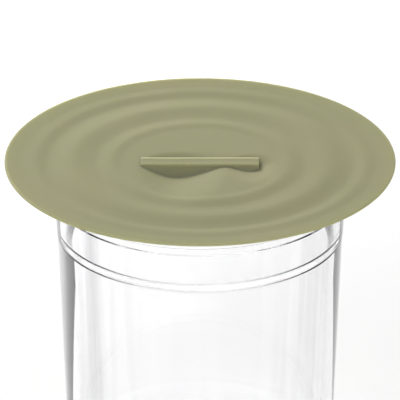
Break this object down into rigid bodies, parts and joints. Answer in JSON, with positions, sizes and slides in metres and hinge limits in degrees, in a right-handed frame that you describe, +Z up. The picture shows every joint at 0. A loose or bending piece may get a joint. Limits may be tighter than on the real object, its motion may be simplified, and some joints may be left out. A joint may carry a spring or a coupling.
{
  "type": "glass jar with silicone lid",
  "caption": "Clear tapering glass jar with fine stepped lines under its rim, closed by a wide thin silicone disc lid with ripple rings and a straight bar grip.",
  "frame": {"origin": "centre of the flat base the jar stands on", "axes": "+Z up along the jar's axis, +X along the lid's grip bar, -Y towards the front, the side the finger hollow is deepest on"},
  "size_m": [0.112, 0.112, 0.0985],
  "materials": {
    "glass": "clear, polished",
    "silicone": "matt sage green"
  },
  "bodies": {
    "jar": {"glass_jar": "glass"},
    "lid": {"lid_disc": "silicone", "lid_grip": "silicone"}
  },
  "joints": [
    {"name": "lid_lift", "type": "slide", "parent": "jar", "child": "lid", "axis": [0, 0, 1], "range_m": [0, 0.12]}
  ]
}
